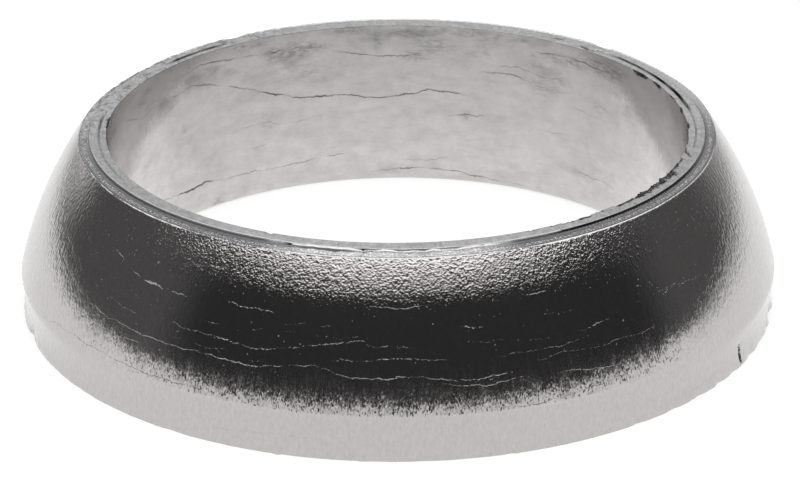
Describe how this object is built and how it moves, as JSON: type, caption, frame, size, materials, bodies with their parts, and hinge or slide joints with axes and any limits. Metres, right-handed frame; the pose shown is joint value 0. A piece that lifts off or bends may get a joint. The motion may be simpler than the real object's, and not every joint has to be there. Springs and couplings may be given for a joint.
{
  "type": "exhaust gasket",
  "caption": "Pressed graphite exhaust ring gasket with a straight bore, a flat wide face, a short waisted rim and a ball-shaped outer seat that narrows to a banded face.",
  "frame": {"origin": "centre of the wide flat face, on the axis of the bore", "axes": "+Z along the bore from the wide face to the narrow face; -Y is the side that faces the camera in the picture"},
  "size_m": [0.0668, 0.0668, 0.0158],
  "materials": {
    "pressed_graphite": "satin metallic grey pressed graphite, finely crinkled near the narrow face, with hairline cracks"
  },
  "bodies": {
    "root": {"gasket_ring": "pressed_graphite"}
  },
  "joints": []
}
